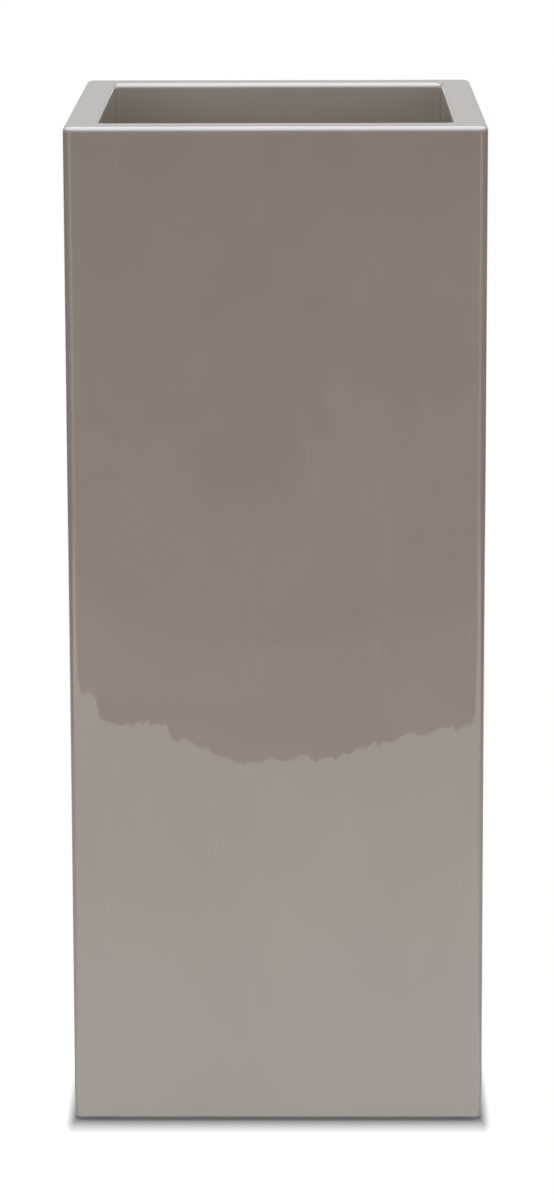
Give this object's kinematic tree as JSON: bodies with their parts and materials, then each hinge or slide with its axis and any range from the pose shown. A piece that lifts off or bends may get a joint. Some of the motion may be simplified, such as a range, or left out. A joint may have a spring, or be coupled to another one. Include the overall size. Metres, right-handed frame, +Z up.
{
  "type": "tall square planter",
  "caption": "Tall square floor planter in glossy glass-fibre laminate, with a wide flat rim, a lift-out shelf inside, a plugged drain hole and low rubber feet.",
  "frame": {"origin": "on the floor, under the middle of the planter", "axes": "+Z up, +X to the right and -Y towards the viewer of the picture, square to the walls"},
  "size_m": [0.38, 0.38, 0.935],
  "materials": {
    "lacquered_laminate": "gloss",
    "bare_laminate": "satin",
    "laminate_tape": "satin",
    "shelf_board": "satin",
    "black_rubber": "matte"
  },
  "bodies": {
    "planter": {"shell": "lacquered_laminate", "base_panel": "bare_laminate", "base_tape_front": "laminate_tape", "base_tape_back": "laminate_tape", "base_tape_left": "laminate_tape", "base_tape_right": "laminate_tape", "shelf_ledge_front": "bare_laminate", "shelf_ledge_back": "bare_laminate", "shelf_ledge_left": "bare_laminate", "shelf_ledge_right": "bare_laminate", "foot_front_left": "black_rubber", "foot_front_right": "black_rubber", "foot_back_left": "black_rubber", "foot_back_right": "black_rubber"},
    "shelf": {"shelf": "shelf_board"},
    "drain_plug": {"drain_plug": "black_rubber"}
  },
  "joints": [
    {"name": "shelf_lift", "type": "slide", "parent": "planter", "child": "shelf", "axis": [0, 0, 1], "range_m": [0, 0.38]},
    {"name": "plug_pull", "type": "slide", "parent": "planter", "child": "drain_plug", "axis": [0, 0, -1], "range_m": [0, 0.03]}
  ]
}
